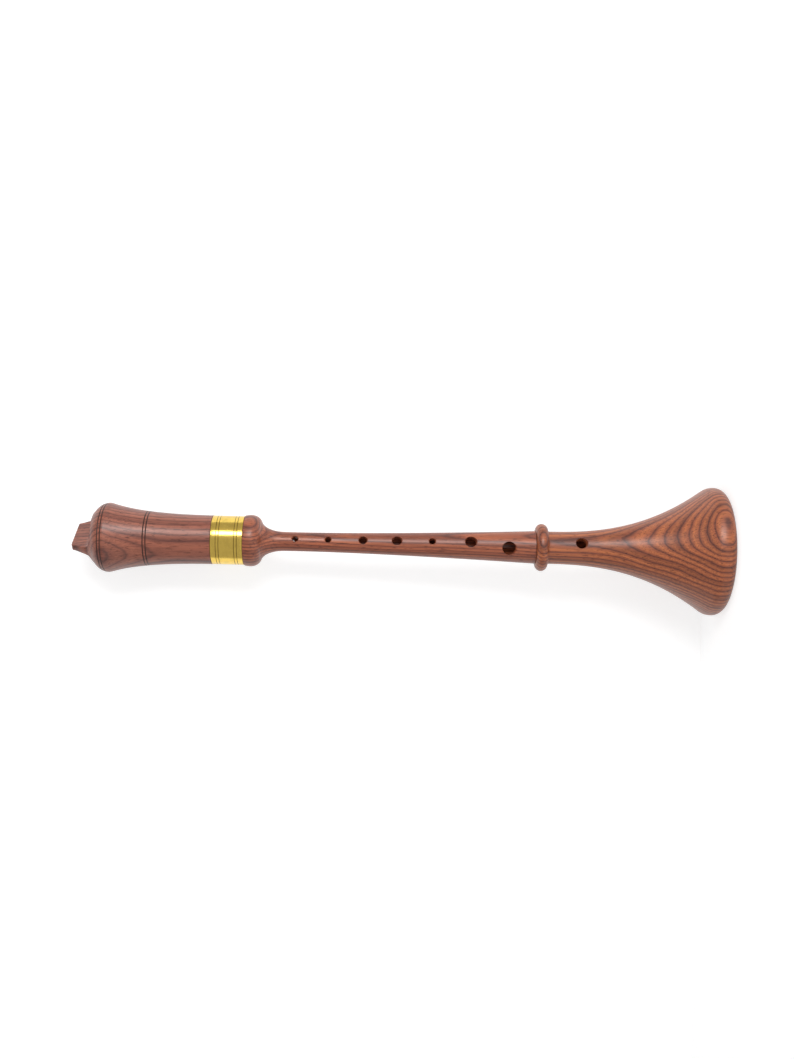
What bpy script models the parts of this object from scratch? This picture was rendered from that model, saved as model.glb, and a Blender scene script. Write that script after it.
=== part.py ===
"""Windcap shawm: bell, fingered body, windcap with brass ferrule, and the reed inside.

Units are metres, +Z is up. The instrument stands on its bell: the origin is the centre of the
bell's mouth, and the bore runs up the Z axis to the blowing end. The finger holes face -Y, so
the player's right hand side is at -X. Every moving piece slides along the bore, so its origin
lies on the Z axis.
"""

import math

import bmesh
import bpy

# Clearances
SEAT_GAP = 0.0003            # between two faces that seat on each other, and round a fitted piece

# How far a cutter runs past the face that it opens
OVERRUN = 0.002

# Facets round a turned piece
SEGMENTS = 32
SMALL_SEGMENTS = 20

# Bell, heights from its mouth
BELL_LENGTH = 0.140
LIP_RADIUS = 0.048           # greatest radius of the rolled lip
LIP_HEIGHT = 0.0075          # height of that greatest radius
ROLL_RADIUS = 0.0456         # where the flare turns into the rolled lip
ROLL_HEIGHT = 0.015
RIM_OUTER_RADIUS = 0.041     # flat rim that the instrument stands on
RIM_INNER_RADIUS = 0.038
THROAT_RADIUS = 0.0122
FLARE_POWER = 2.5
BELL_BORE_POWER = 1.6
BEAD_RADIUS = 0.0178
BEAD_WIDTH = 0.009
BEAD_HEIGHT = 0.0046         # how far the round of the bead stands above its sides
VENT_HEIGHT = 0.1067
VENT_DIAMETER = 0.008

# Body, heights from its foot, which seats on the bell
BODY_LENGTH = 0.218          # foot to head shoulder
FOOT_RADIUS = 0.0123
STEM_RADIUS = 0.0072         # the slim part below the knob
STEM_START = 0.170           # where the taper from the foot has reached the slim radius
TAPER_POWER = 1.5
KNOB_RADIUS = 0.0194
KNOB_HEAD_RADIUS = 0.0190    # radius of the knob's upper edge, beside the ferrule
KNOB_CREST = 0.0045          # shoulder down to the knob's greatest radius
KNOB_DROP = 0.008            # crest down to the end of the round shoulder
KNOB_NECK_RADIUS = 0.0126    # radius there, where the hollow towards the stem starts
KNOB_HOLLOW = 0.018          # length of that hollow
BORE_TOP_RADIUS = 0.0021
BORE_FOOT_RADIUS = 0.0057
LOWER_TENON_LENGTH = 0.022
LOWER_TENON_RADIUS = 0.0081
UPPER_TENON_LENGTH = 0.026
UPPER_TENON_RADIUS = 0.0128
TENON_LAND = 0.002           # plain wood left at each end of a tenon's thread groove
LAPPING_GROOVE = 0.0009      # depth of the groove that holds the thread
LAPPING_PROUD = 0.0004       # how far the thread stands above the tenon
WELL_DEPTH = 0.010           # reed well in the head of the upper tenon

# Each finger hole: name, height above the foot, diameter, turn towards the player's left in degrees
FINGER_HOLES = (
    ("hole_7", 0.0201, 0.0100, -24.0),
    ("hole_6", 0.0486, 0.0083, 0.0),
    ("hole_5", 0.0774, 0.0045, 0.0),
    ("hole_4", 0.1038, 0.0070, 0.0),
    ("hole_3", 0.1292, 0.0060, 0.0),
    ("hole_2", 0.1554, 0.0043, 0.0),
    ("hole_1", 0.1801, 0.0043, 0.0),
)
THUMB_HEIGHT = 0.183
THUMB_DIAMETER = 0.0045

# Windcap, heights from its open end
WINDCAP_LENGTH = 0.1275
FERRULE_WIDTH = 0.0236
FERRULE_WALL = 0.001
WAIST_RADIUS = 0.0184        # outside of the ferrule and of the wood just above it
BULB_RADIUS = 0.0261
BULB_HEIGHT = 0.1017         # height of the bulb's greatest radius
BULB_SWEEP = 0.062           # how far up from the ferrule the side starts to swell
BULB_ROUND = 0.004           # how far below the greatest radius the swell turns upright
DOME_DEPTH = 0.0137          # height that the dome would have if it ran on to its top
DOME_EDGE_RADIUS = 0.0200    # crisp edge where the dome ends and the blowing end starts
DOME_EDGE_HEIGHT = 0.1117
SPOUT_ROOT_RADIUS = 0.0176
SPOUT_ROOT_HEIGHT = 0.1149
SPOUT_TIP_RADIUS = 0.0133
TIP_ROUND = 0.0008
WINDCAP_TURN = 33.0          # turn of the blade from the finger holes, degrees, to the player's left
BLADE_TIP_THICKNESS = 0.0042
BLADE_ROOT_THICKNESS = 0.0064
BLADE_ROOT_HEIGHT = 0.1183
BLADE_FILLET = 0.0055
CAVITY_DEPTH = 0.1040        # depth of the hollow in the windcap
CAVITY_ROUND = 0.006         # rounding of the hollow's closed end
SLOT_WIDTH = 0.014
SLOT_THICKNESS = 0.0018
TURNED_LINE_HEIGHTS = (0.0709, 0.0730, 0.1031, 0.1053)
TURNED_LINE_WIDTH = 0.0007
TURNED_LINE_DEPTH = 0.0004
FERRULE_LINES = (0.0040, 0.0061)   # distances of the engraved lines from each edge
FERRULE_LINE_WIDTH = 0.0004
FERRULE_LINE_DEPTH = 0.0002

# Reed, heights from the foot of its staple
STAPLE_LENGTH = 0.027
STAPLE_FOOT_RADIUS = 0.0022
STAPLE_TOP_RADIUS = 0.0019
STAPLE_WALL = 0.0004
BASE_LAPPING_LENGTH = 0.010
BASE_LAPPING_RADIUS = 0.0035
BINDING_LENGTH = 0.017
BINDING_FOOT_RADIUS = 0.0033
BINDING_TOP_RADIUS = 0.00475
BINDING_WALL = 0.0006
CANE_HIDDEN_LENGTH = 0.009   # part of the cane under the binding
CANE_VISIBLE_LENGTH = 0.0246
CANE_FOOT_RADIUS = 0.0028
CANE_BASE_WIDTH = 0.0098     # width just above the binding
CANE_SPREAD_SHARE = 0.12     # share of the visible length over which the cane spreads to that width
CANE_TIP_WIDTH = 0.015
CANE_TIP_CAMBER = 0.0011     # how far each blade bows out at the tip
CANE_THICKNESS = 0.0005
CANE_FACETS = 10
CANE_STATIONS = 5

# Heights of the pieces in the standing instrument
BODY_FOOT = BELL_LENGTH + SEAT_GAP
BODY_SHOULDER = BODY_FOOT + BODY_LENGTH
WINDCAP_FOOT = BODY_SHOULDER + SEAT_GAP
WINDCAP_TIP = WINDCAP_FOOT + WINDCAP_LENGTH
TENON_TOP = BODY_SHOULDER + UPPER_TENON_LENGTH
REED_FOOT = TENON_TOP - WELL_DEPTH + SEAT_GAP

# Radii of the fits
LOWER_SOCKET_RADIUS = LOWER_TENON_RADIUS + LAPPING_PROUD + SEAT_GAP
UPPER_SOCKET_RADIUS = UPPER_TENON_RADIUS + LAPPING_PROUD + SEAT_GAP
WELL_RADIUS = BASE_LAPPING_RADIUS + SEAT_GAP
FERRULE_SEAT_RADIUS = WAIST_RADIUS - FERRULE_WALL - SEAT_GAP


# Scene and collections

def clear_scene():
    """Remove every object that the file holds."""
    for item in list(bpy.data.objects):
        bpy.data.objects.remove(item, do_unlink=True)


def new_collection(name, parent):
    """Make a collection inside another one."""
    group = bpy.data.collections.new(name)
    parent.children.link(group)
    return group


clear_scene()
PARTS = new_collection("windcap_shawm", bpy.context.scene.collection)
CUTTERS = new_collection("cutters", bpy.context.scene.collection)


def material(name, colour, roughness, metallic=0.0):
    """Plain surface with one colour, roughness and metallic value."""
    finish = bpy.data.materials.new(name)
    finish.use_nodes = True
    shader = finish.node_tree.nodes["Principled BSDF"]
    shader.inputs["Base Color"].default_value = (*colour, 1.0)
    shader.inputs["Roughness"].default_value = roughness
    shader.inputs["Metallic"].default_value = metallic
    return finish


# Outlines, as lists of (radius, height) points

def arc(centre_radius, centre_height, half_radius, half_height, start, end, steps):
    """Stretch of an ellipse; 0 degrees points outwards and 90 degrees points up."""
    points = []
    for step in range(steps + 1):
        angle = math.radians(start + (end - start) * step / steps)
        points.append((centre_radius + half_radius * math.cos(angle),
                       centre_height + half_height * math.sin(angle)))
    return points


def bezier(start, start_handle, end_handle, end, steps):
    """Cubic curve from start to end."""
    points = []
    for step in range(steps + 1):
        t = step / steps
        weights = ((1 - t) ** 3, 3 * t * (1 - t) ** 2, 3 * t * t * (1 - t), t ** 3)
        corners = (start, start_handle, end_handle, end)
        points.append(tuple(sum(w * c[axis] for w, c in zip(weights, corners)) for axis in (0, 1)))
    return points


def power_taper(start, end, power, steps):
    """Taper that leaves start along the bore and opens ever faster towards end."""
    points = []
    for step in range(steps + 1):
        t = step / steps
        points.append((start[0] + (end[0] - start[0]) * t ** power,
                       start[1] + (end[1] - start[1]) * t))
    return points


def joined(*stretches):
    """Join stretches of an outline, leaving out a point that repeats the one before."""
    points = []
    for stretch in stretches:
        for point in stretch:
            if not points or math.dist(points[-1], point) > 1e-6:
                points.append(point)
    return points


def grooved(outline, heights, width, depth):
    """Cut shallow V grooves, at the given heights, into an outline that runs down."""
    points = list(outline)
    for height in heights:
        cuts = []
        for level, inset in ((height + width / 2, 0.0), (height, depth), (height - width / 2, 0.0)):
            cuts.append((radius_at(outline, level) - inset, level))
        above = [point for point in points if point[1] > height + width / 2]
        below = [point for point in points if point[1] < height - width / 2]
        points = above + cuts + below
    return points


def radius_at(outline, height):
    """Radius of a falling outline at one height."""
    for upper, lower in zip(outline, outline[1:]):
        if lower[1] <= height <= upper[1]:
            share = (upper[1] - height) / (upper[1] - lower[1])
            return upper[0] + (lower[0] - upper[0]) * share
    raise ValueError("the outline doesn't reach that height")


# Objects

def place(item, finish):
    """Put a finished piece in the collection of parts."""
    item.data.materials.append(finish)
    PARTS.objects.link(item)
    return item


def turned(name, outline, finish, segments=SEGMENTS, closed=True):
    """Turn an outline round the bore; it runs down the outer side and back up the inner one."""
    mesh = bpy.data.meshes.new(name)
    last = len(outline) - 1
    edges = [(index, index + 1) for index in range(last)]
    if closed:
        edges.append((last, 0))
    mesh.from_pydata([(radius, 0.0, height) for radius, height in outline], edges, [])
    item = place(bpy.data.objects.new(name, mesh), finish)
    screw = item.modifiers.new("turning", "SCREW")
    screw.axis = "Z"
    screw.angle = 2 * math.pi
    screw.steps = segments
    screw.render_steps = segments
    screw.use_merge_vertices = True
    screw.merge_threshold = 0.000001
    screw.use_smooth_shade = True
    return item


def as_cutter(item):
    """Hide a cutter from renders and draw it as wires."""
    item.hide_render = True
    item.display_type = "WIRE"
    CUTTERS.objects.link(item)
    return item


def drill(name, radius, start, length, height, turn):
    """Cutter for a hole drilled square to the bore; start is its inner end's distance from the axis."""
    mesh = bpy.data.meshes.new(name)
    bit = bmesh.new()
    bmesh.ops.create_cone(bit, cap_ends=True, segments=24, radius1=radius, radius2=radius, depth=length)
    bit.to_mesh(mesh)
    bit.free()
    item = as_cutter(bpy.data.objects.new(name, mesh))
    angle = math.radians(turn)
    reach = start + length / 2
    item.location = (reach * math.sin(angle), -reach * math.cos(angle), height)
    item.rotation_euler = (math.pi / 2, 0.0, angle)
    return item


def cut(item, cutter):
    """Take the cutter's shape out of a piece."""
    difference = item.modifiers.new("cut " + cutter.name, "BOOLEAN")
    difference.operation = "DIFFERENCE"
    difference.solver = "EXACT"
    difference.object = cutter


def lapped_tenon(radius, top, bottom):
    """Outline of a tenon's outside with its thread groove, from top to bottom."""
    return [
        (radius, top),
        (radius, top - TENON_LAND),
        (radius - LAPPING_GROOVE, top - TENON_LAND),
        (radius - LAPPING_GROOVE, bottom + TENON_LAND),
        (radius, bottom + TENON_LAND),
        (radius, bottom),
    ]


# Bell

def make_bell(finish):
    """Flared bell with its rolled lip, socket, bead and vent hole."""
    bead_middle = BELL_LENGTH - BEAD_WIDTH / 2
    bead = arc(BEAD_RADIUS - BEAD_HEIGHT, bead_middle, BEAD_HEIGHT, BEAD_WIDTH / 2, 90, -90, 8)
    flare = power_taper((THROAT_RADIUS, BELL_LENGTH - BEAD_WIDTH), (ROLL_RADIUS, ROLL_HEIGHT),
                        FLARE_POWER, 11)
    flare_slope = FLARE_POWER * (ROLL_RADIUS - THROAT_RADIUS) / (BELL_LENGTH - BEAD_WIDTH - ROLL_HEIGHT)
    handle = (ROLL_HEIGHT - LIP_HEIGHT) / 3
    roll = bezier((ROLL_RADIUS, ROLL_HEIGHT),
                  (ROLL_RADIUS + handle * flare_slope, ROLL_HEIGHT - handle),
                  (LIP_RADIUS, LIP_HEIGHT + handle),
                  (LIP_RADIUS, LIP_HEIGHT), 3)
    lip = arc(RIM_OUTER_RADIUS, LIP_HEIGHT, LIP_RADIUS - RIM_OUTER_RADIUS, LIP_HEIGHT, 0, -90, 5)
    socket_floor = BELL_LENGTH - LOWER_TENON_LENGTH
    bore = power_taper((BORE_FOOT_RADIUS + SEAT_GAP, socket_floor), (RIM_INNER_RADIUS, 0.0),
                       BELL_BORE_POWER, 9)
    socket = [(LOWER_SOCKET_RADIUS, socket_floor), (LOWER_SOCKET_RADIUS, BELL_LENGTH)]
    bell = turned("bell", joined(bead, flare, roll, lip, reversed(bore), socket), finish)
    vent = drill("vent_drill", VENT_DIAMETER / 2, 0.0, LIP_RADIUS, VENT_HEIGHT, 0.0)
    cut(bell, vent)
    return bell


# Body

def make_body(finish):
    """One-piece body: upper tenon, knob, tapering stem with its holes, and lower tenon."""
    upper_tenon = lapped_tenon(UPPER_TENON_RADIUS, TENON_TOP, BODY_SHOULDER)
    crest = BODY_SHOULDER - KNOB_CREST
    head = bezier((KNOB_HEAD_RADIUS, BODY_SHOULDER),
                  (KNOB_HEAD_RADIUS + (KNOB_RADIUS - KNOB_HEAD_RADIUS) / 2, BODY_SHOULDER - KNOB_CREST / 3),
                  (KNOB_RADIUS, crest + KNOB_CREST / 3),
                  (KNOB_RADIUS, crest), 2)
    shoulder = arc(KNOB_NECK_RADIUS, crest, KNOB_RADIUS - KNOB_NECK_RADIUS, KNOB_DROP, 0, -78, 6)
    stem_top = (STEM_RADIUS, crest - KNOB_DROP - KNOB_HOLLOW)
    neck = shoulder[-1]
    hollow = bezier(neck,
                    (STEM_RADIUS + (neck[0] - STEM_RADIUS) * 0.4, neck[1] - KNOB_HOLLOW * 0.12),
                    (STEM_RADIUS, stem_top[1] + KNOB_HOLLOW * 0.55),
                    stem_top, 6)
    taper = power_taper((STEM_RADIUS, BODY_FOOT + STEM_START), (FOOT_RADIUS, BODY_FOOT), TAPER_POWER, 8)
    tenon_end = BELL_LENGTH - LOWER_TENON_LENGTH + SEAT_GAP
    lower_tenon = lapped_tenon(LOWER_TENON_RADIUS, BODY_FOOT, tenon_end)
    well_floor = TENON_TOP - WELL_DEPTH
    bore = [(BORE_FOOT_RADIUS, tenon_end), (BORE_TOP_RADIUS, well_floor)]
    well = [(WELL_RADIUS, well_floor), (WELL_RADIUS, TENON_TOP)]
    body = turned("body", joined(upper_tenon, head, shoulder, hollow, taper, lower_tenon, bore, well),
                  finish)
    for name, height, diameter, turn in FINGER_HOLES:
        cut(body, drill(name + "_drill", diameter / 2, 0.0, 2 * FOOT_RADIUS, BODY_FOOT + height, turn))
    cut(body, drill("thumb_drill", THUMB_DIAMETER / 2, 0.0, 2 * FOOT_RADIUS, BODY_FOOT + THUMB_HEIGHT, 180.0))
    return body


def make_lapping(name, radius, top, bottom, finish):
    """Thread wound in a tenon's groove, standing a little above the tenon."""
    inner = radius - LAPPING_GROOVE + SEAT_GAP
    outer = radius + LAPPING_PROUD
    high = top - TENON_LAND - SEAT_GAP
    low = bottom + TENON_LAND + SEAT_GAP
    ease = LAPPING_PROUD
    outline = [(inner, high), (outer - ease, high), (outer, high - ease),
               (outer, low + ease), (outer - ease, low), (inner, low)]
    return turned(name, outline, finish)


# Windcap

def prism(name, outline, half_width):
    """Cutter with one outline of (side, height) points, drawn out along its X axis."""
    mesh = bpy.data.meshes.new(name)
    block = bmesh.new()
    corners = [block.verts.new((-half_width, -side, height)) for side, height in outline]
    face = block.faces.new(corners)
    drawn = bmesh.ops.extrude_face_region(block, geom=[face])
    moved = [item for item in drawn["geom"] if isinstance(item, bmesh.types.BMVert)]
    bmesh.ops.translate(block, verts=moved, vec=(2 * half_width, 0.0, 0.0))
    bmesh.ops.recalc_face_normals(block, faces=block.faces)
    block.to_mesh(mesh)
    block.free()
    return as_cutter(bpy.data.objects.new(name, mesh))


def scoop_cutter():
    """Cutter for both hollow flanks of the spout, which leaves the blade between them."""
    root = WINDCAP_FOOT + BLADE_ROOT_HEIGHT
    half_root = BLADE_ROOT_THICKNESS / 2
    rise = WINDCAP_TIP - root
    lean = (BLADE_ROOT_THICKNESS - BLADE_TIP_THICKNESS) / 2 / rise
    top = WINDCAP_TIP + OVERRUN
    fillet = arc(half_root + BLADE_FILLET, root, BLADE_FILLET, BLADE_FILLET, 180, 270, 5)
    edge = (BULB_RADIUS, WINDCAP_FOOT + DOME_EDGE_HEIGHT + SEAT_GAP)
    outline = joined([(half_root - lean * (rise + OVERRUN), top)], fillet, [edge, (BULB_RADIUS, top)])
    cutter = prism("scoop", outline, BULB_RADIUS)
    mirror = cutter.modifiers.new("other flank", "MIRROR")
    mirror.use_axis = (False, True, False)
    mirror.use_mirror_merge = False
    return cutter


def slot_cutter():
    """Cutter for the blow slot, from the hollow to the tip."""
    low = WINDCAP_FOOT + CAVITY_DEPTH - OVERRUN
    high = WINDCAP_TIP + OVERRUN
    half = SLOT_THICKNESS / 2
    return prism("slot", [(-half, low), (half, low), (half, high), (-half, high)], SLOT_WIDTH / 2)


def windcap_outline():
    """Outer side of the windcap from the tip down, then its hollow from the open end up."""
    spout = [
        (0.0, WINDCAP_TIP),
        (SPOUT_TIP_RADIUS - TIP_ROUND, WINDCAP_TIP),
        (SPOUT_TIP_RADIUS, WINDCAP_TIP - TIP_ROUND),
        (SPOUT_ROOT_RADIUS, WINDCAP_FOOT + SPOUT_ROOT_HEIGHT),
    ]
    crest = WINDCAP_FOOT + BULB_HEIGHT
    start = math.asin((DOME_EDGE_HEIGHT - BULB_HEIGHT) / DOME_DEPTH)
    centre = (DOME_EDGE_RADIUS - BULB_RADIUS * math.cos(start)) / (1 - math.cos(start))
    dome = arc(centre, crest, BULB_RADIUS - centre, DOME_DEPTH, math.degrees(start), 0, 6)
    ferrule_top = WINDCAP_FOOT + FERRULE_WIDTH + SEAT_GAP
    sweep = bezier((BULB_RADIUS, crest),
                   (BULB_RADIUS, crest - BULB_ROUND),
                   (WAIST_RADIUS, ferrule_top + BULB_SWEEP),
                   (WAIST_RADIUS, ferrule_top), 14)
    side = grooved(joined(dome, sweep), [WINDCAP_FOOT + height for height in TURNED_LINE_HEIGHTS],
                   TURNED_LINE_WIDTH, TURNED_LINE_DEPTH)
    seat = [(FERRULE_SEAT_RADIUS, ferrule_top), (FERRULE_SEAT_RADIUS, WINDCAP_FOOT)]
    end = WINDCAP_FOOT + CAVITY_DEPTH
    corner = arc(UPPER_SOCKET_RADIUS - CAVITY_ROUND, end - CAVITY_ROUND, CAVITY_ROUND, CAVITY_ROUND,
                 0, 90, 4)
    hollow = joined([(UPPER_SOCKET_RADIUS, WINDCAP_FOOT)], corner, [(0.0, end)])
    return joined(spout, side, seat, hollow)


def make_windcap(finish):
    """Turned windcap with its hollow, its blade-like blowing end and the blow slot."""
    windcap = turned("windcap", windcap_outline(), finish, closed=False)
    windcap.rotation_euler.z = math.radians(WINDCAP_TURN)
    for cutter in (scoop_cutter(), slot_cutter()):
        cutter.parent = windcap
        cut(windcap, cutter)
    return windcap


def make_ferrule(finish):
    """Brass sleeve with two pairs of engraved lines."""
    top = WINDCAP_FOOT + FERRULE_WIDTH
    inner = WAIST_RADIUS - FERRULE_WALL
    outside = [(WAIST_RADIUS, top), (WAIST_RADIUS, WINDCAP_FOOT)]
    lines = [end for line in FERRULE_LINES for end in (WINDCAP_FOOT + line, top - line)]
    outside = grooved(outside, sorted(lines, reverse=True), FERRULE_LINE_WIDTH, FERRULE_LINE_DEPTH)
    return turned("windcap_ferrule", joined(outside, [(inner, WINDCAP_FOOT), (inner, top)]), finish)


# Reed

def make_staple(finish):
    """Tapered brass tube that carries the blades."""
    top = REED_FOOT + STAPLE_LENGTH
    outline = [
        (STAPLE_TOP_RADIUS, top),
        (STAPLE_FOOT_RADIUS, REED_FOOT),
        (STAPLE_FOOT_RADIUS - STAPLE_WALL, REED_FOOT),
        (STAPLE_TOP_RADIUS - STAPLE_WALL, top),
    ]
    return turned("reed_staple", outline, finish, SMALL_SEGMENTS)


def make_base_lapping(finish):
    """Barrel of waxed thread that seals the staple in the reed well."""
    inner = STAPLE_FOOT_RADIUS + SEAT_GAP
    ease = (BASE_LAPPING_RADIUS - inner) / 2
    middle = REED_FOOT + BASE_LAPPING_LENGTH / 2
    barrel = arc(inner + ease, middle, ease, BASE_LAPPING_LENGTH / 2, 90, -90, 8)
    outline = joined(barrel, [(inner, REED_FOOT), (inner, REED_FOOT + BASE_LAPPING_LENGTH)])
    return turned("reed_base_lapping", outline, finish, SMALL_SEGMENTS)


def make_binding(finish):
    """Tapered winding of black thread that holds the canes on the staple."""
    foot = REED_FOOT + BASE_LAPPING_LENGTH + SEAT_GAP
    top = foot + BINDING_LENGTH
    cane_foot = top - CANE_HIDDEN_LENGTH - SEAT_GAP
    staple_bore = STAPLE_FOOT_RADIUS + SEAT_GAP
    ease = BINDING_WALL / 2
    outline = [
        (BINDING_TOP_RADIUS - BINDING_WALL, top),
        (BINDING_TOP_RADIUS - ease, top),
        (BINDING_TOP_RADIUS, top - ease),
        (BINDING_FOOT_RADIUS, foot + ease),
        (BINDING_FOOT_RADIUS - ease, foot),
        (staple_bore, foot),
        (staple_bore, cane_foot),
        (CANE_FOOT_RADIUS + SEAT_GAP, cane_foot),
    ]
    return turned("reed_binding", outline, finish, SMALL_SEGMENTS)


def cane_section(height, side):
    """Ring of points round one blade's crescent section, at a height above the cane's foot."""
    neck_radius = BINDING_TOP_RADIUS - BINDING_WALL - SEAT_GAP
    if height <= CANE_HIDDEN_LENGTH:
        half_width = CANE_FOOT_RADIUS + (neck_radius - CANE_FOOT_RADIUS) * height / CANE_HIDDEN_LENGTH
        camber = half_width
    else:
        share = (height - CANE_HIDDEN_LENGTH) / CANE_VISIBLE_LENGTH
        spread = min(1.0, share / CANE_SPREAD_SHARE)
        base = neck_radius + (CANE_BASE_WIDTH / 2 - neck_radius) * spread
        half_width = base + (CANE_TIP_WIDTH - CANE_BASE_WIDTH) / 2 * share
        camber = neck_radius + (CANE_TIP_CAMBER - neck_radius) * share
    level = REED_FOOT + BASE_LAPPING_LENGTH + BINDING_LENGTH + SEAT_GAP - CANE_HIDDEN_LENGTH + height
    parting = SEAT_GAP / 2
    outer = []
    inner = []
    for step in range(CANE_FACETS + 1):
        angle = math.pi * step / CANE_FACETS
        outer.append((half_width * math.cos(angle),
                      side * (parting + camber * math.sin(angle)), level))
        inner.append(((half_width - CANE_THICKNESS) * math.cos(angle),
                      side * (parting + (camber - CANE_THICKNESS) * math.sin(angle)), level))
    return outer, inner


def make_cane(name, side, finish):
    """One blade of cane, lofted from a half round foot to a wide, flat tip."""
    heights = [0.0, CANE_HIDDEN_LENGTH]
    for step in range(1, CANE_STATIONS + 1):
        heights.append(CANE_HIDDEN_LENGTH + CANE_VISIBLE_LENGTH * step / CANE_STATIONS)
    spread_end = CANE_HIDDEN_LENGTH + CANE_VISIBLE_LENGTH * CANE_SPREAD_SHARE
    heights = sorted(heights + [spread_end])
    blade = bmesh.new()
    rings = []
    for height in heights:
        outer, inner = cane_section(height, side)
        rings.append([blade.verts.new(point) for point in outer + inner[::-1]])
    count = 2 * (CANE_FACETS + 1)
    for lower, upper in zip(rings, rings[1:]):
        for index in range(count):
            after = (index + 1) % count
            blade.faces.new((lower[index], lower[after], upper[after], upper[index]))
    for ring in (rings[0], rings[-1]):
        for index in range(CANE_FACETS):
            across = count - 1 - index
            blade.faces.new((ring[index], ring[index + 1], ring[across - 1], ring[across]))
    bmesh.ops.recalc_face_normals(blade, faces=blade.faces)
    mesh = bpy.data.meshes.new(name)
    blade.to_mesh(mesh)
    blade.free()
    return place(bpy.data.objects.new(name, mesh), finish)


# The instrument

def build():
    """Make every piece and hang it on the piece that carries it."""
    bell = make_bell(material("bell_wood", (0.30, 0.13, 0.06), 0.35))
    body = make_body(material("body_wood", (0.27, 0.11, 0.05), 0.35))
    lower_top = BODY_FOOT
    lower_end = BELL_LENGTH - LOWER_TENON_LENGTH + SEAT_GAP
    lower = make_lapping("lower_tenon_lapping", LOWER_TENON_RADIUS, lower_top, lower_end,
                         material("lower_thread", (0.45, 0.10, 0.06), 0.8))
    upper = make_lapping("upper_tenon_lapping", UPPER_TENON_RADIUS, TENON_TOP, BODY_SHOULDER,
                         material("upper_thread", (0.45, 0.10, 0.06), 0.8))
    windcap = make_windcap(material("windcap_wood", (0.24, 0.10, 0.06), 0.35))
    ferrule = make_ferrule(material("ferrule_brass", (0.80, 0.58, 0.16), 0.15, 1.0))
    staple = make_staple(material("staple_brass", (0.75, 0.55, 0.20), 0.3, 1.0))
    base_lapping = make_base_lapping(material("yellow_thread", (0.85, 0.62, 0.04), 0.7))
    binding = make_binding(material("black_thread", (0.03, 0.03, 0.03), 0.6))
    front = make_cane("reed_blade_front", -1, material("cane_front", (0.86, 0.80, 0.62), 0.5))
    back = make_cane("reed_blade_back", 1, material("cane_back", (0.86, 0.80, 0.62), 0.5))
    body.parent = bell
    windcap.parent = body
    staple.parent = body
    lower.parent = body
    upper.parent = body
    ferrule.parent = windcap
    for piece in (base_lapping, binding, front, back):
        piece.parent = staple


build()
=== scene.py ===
import math

import bmesh
import bpy
from mathutils import Matrix, Vector


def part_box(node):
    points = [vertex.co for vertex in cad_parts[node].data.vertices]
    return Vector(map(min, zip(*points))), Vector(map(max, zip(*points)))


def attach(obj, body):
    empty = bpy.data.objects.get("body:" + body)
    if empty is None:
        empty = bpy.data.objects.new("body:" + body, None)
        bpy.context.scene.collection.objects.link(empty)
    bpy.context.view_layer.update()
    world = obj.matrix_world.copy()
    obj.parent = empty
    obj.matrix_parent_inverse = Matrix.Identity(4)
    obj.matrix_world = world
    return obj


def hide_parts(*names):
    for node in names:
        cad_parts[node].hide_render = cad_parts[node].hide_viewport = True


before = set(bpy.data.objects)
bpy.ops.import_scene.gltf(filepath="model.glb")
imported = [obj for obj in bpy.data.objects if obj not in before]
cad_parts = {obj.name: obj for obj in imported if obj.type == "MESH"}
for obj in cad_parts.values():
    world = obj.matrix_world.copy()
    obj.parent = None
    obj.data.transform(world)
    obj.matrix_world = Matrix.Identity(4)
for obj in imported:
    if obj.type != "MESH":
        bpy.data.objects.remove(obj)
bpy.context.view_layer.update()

# Heights and the lip's radius, read from the frame; all sizes are in metres
BELL_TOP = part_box("bell")[1][2]
BODY_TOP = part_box("body")[1][2]
CAP_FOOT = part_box("windcap")[0][2]
CAP_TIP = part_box("windcap")[1][2]
FERRULE_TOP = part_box("windcap_ferrule")[1][2]
LIP_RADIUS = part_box("bell")[1][0]

# Seats
GAP = 0.0003                 # between two faces that seat on each other
BODY_FOOT = BELL_TOP + GAP
SHOULDER = CAP_FOOT - GAP

# Facets
TURNED_FACETS = 144
HOLE_FACETS = 48
THREAD_FACETS = 64
SHARP_EDGE = math.radians(35)
SAME_POINT = 0.000001        # points closer than this are one

# Bell, heights from its mouth
LIP_HEIGHT = 0.0075          # height of the lip's greatest radius
ROLL = (0.0456, 0.015)       # radius and height where the flare turns into the rolled lip
RIM_OUTER_RADIUS = 0.041
RIM_INNER_RADIUS = 0.038
THROAT_RADIUS = 0.0122
FLARE_POWER = 2.5
BEAD_RADIUS = 0.0178
BEAD_WIDTH = 0.009
BEAD_ROUND = 0.0046          # how far the round of the bead stands above its sides
BEAD_FILLET = 0.0006
SOCKET_DEPTH = 0.022
SOCKET_RADIUS = 0.0088
SOCKET_CHAMFER = 0.0004
BELL_BORE_RADIUS = 0.006     # at the bottom of the socket
BELL_BORE_POWER = 1.6
VENT_RADIUS = 0.004
VENT_HEIGHT = 0.1067
VENT_SURFACE = 0.0128        # the flare's radius round the vent

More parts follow.
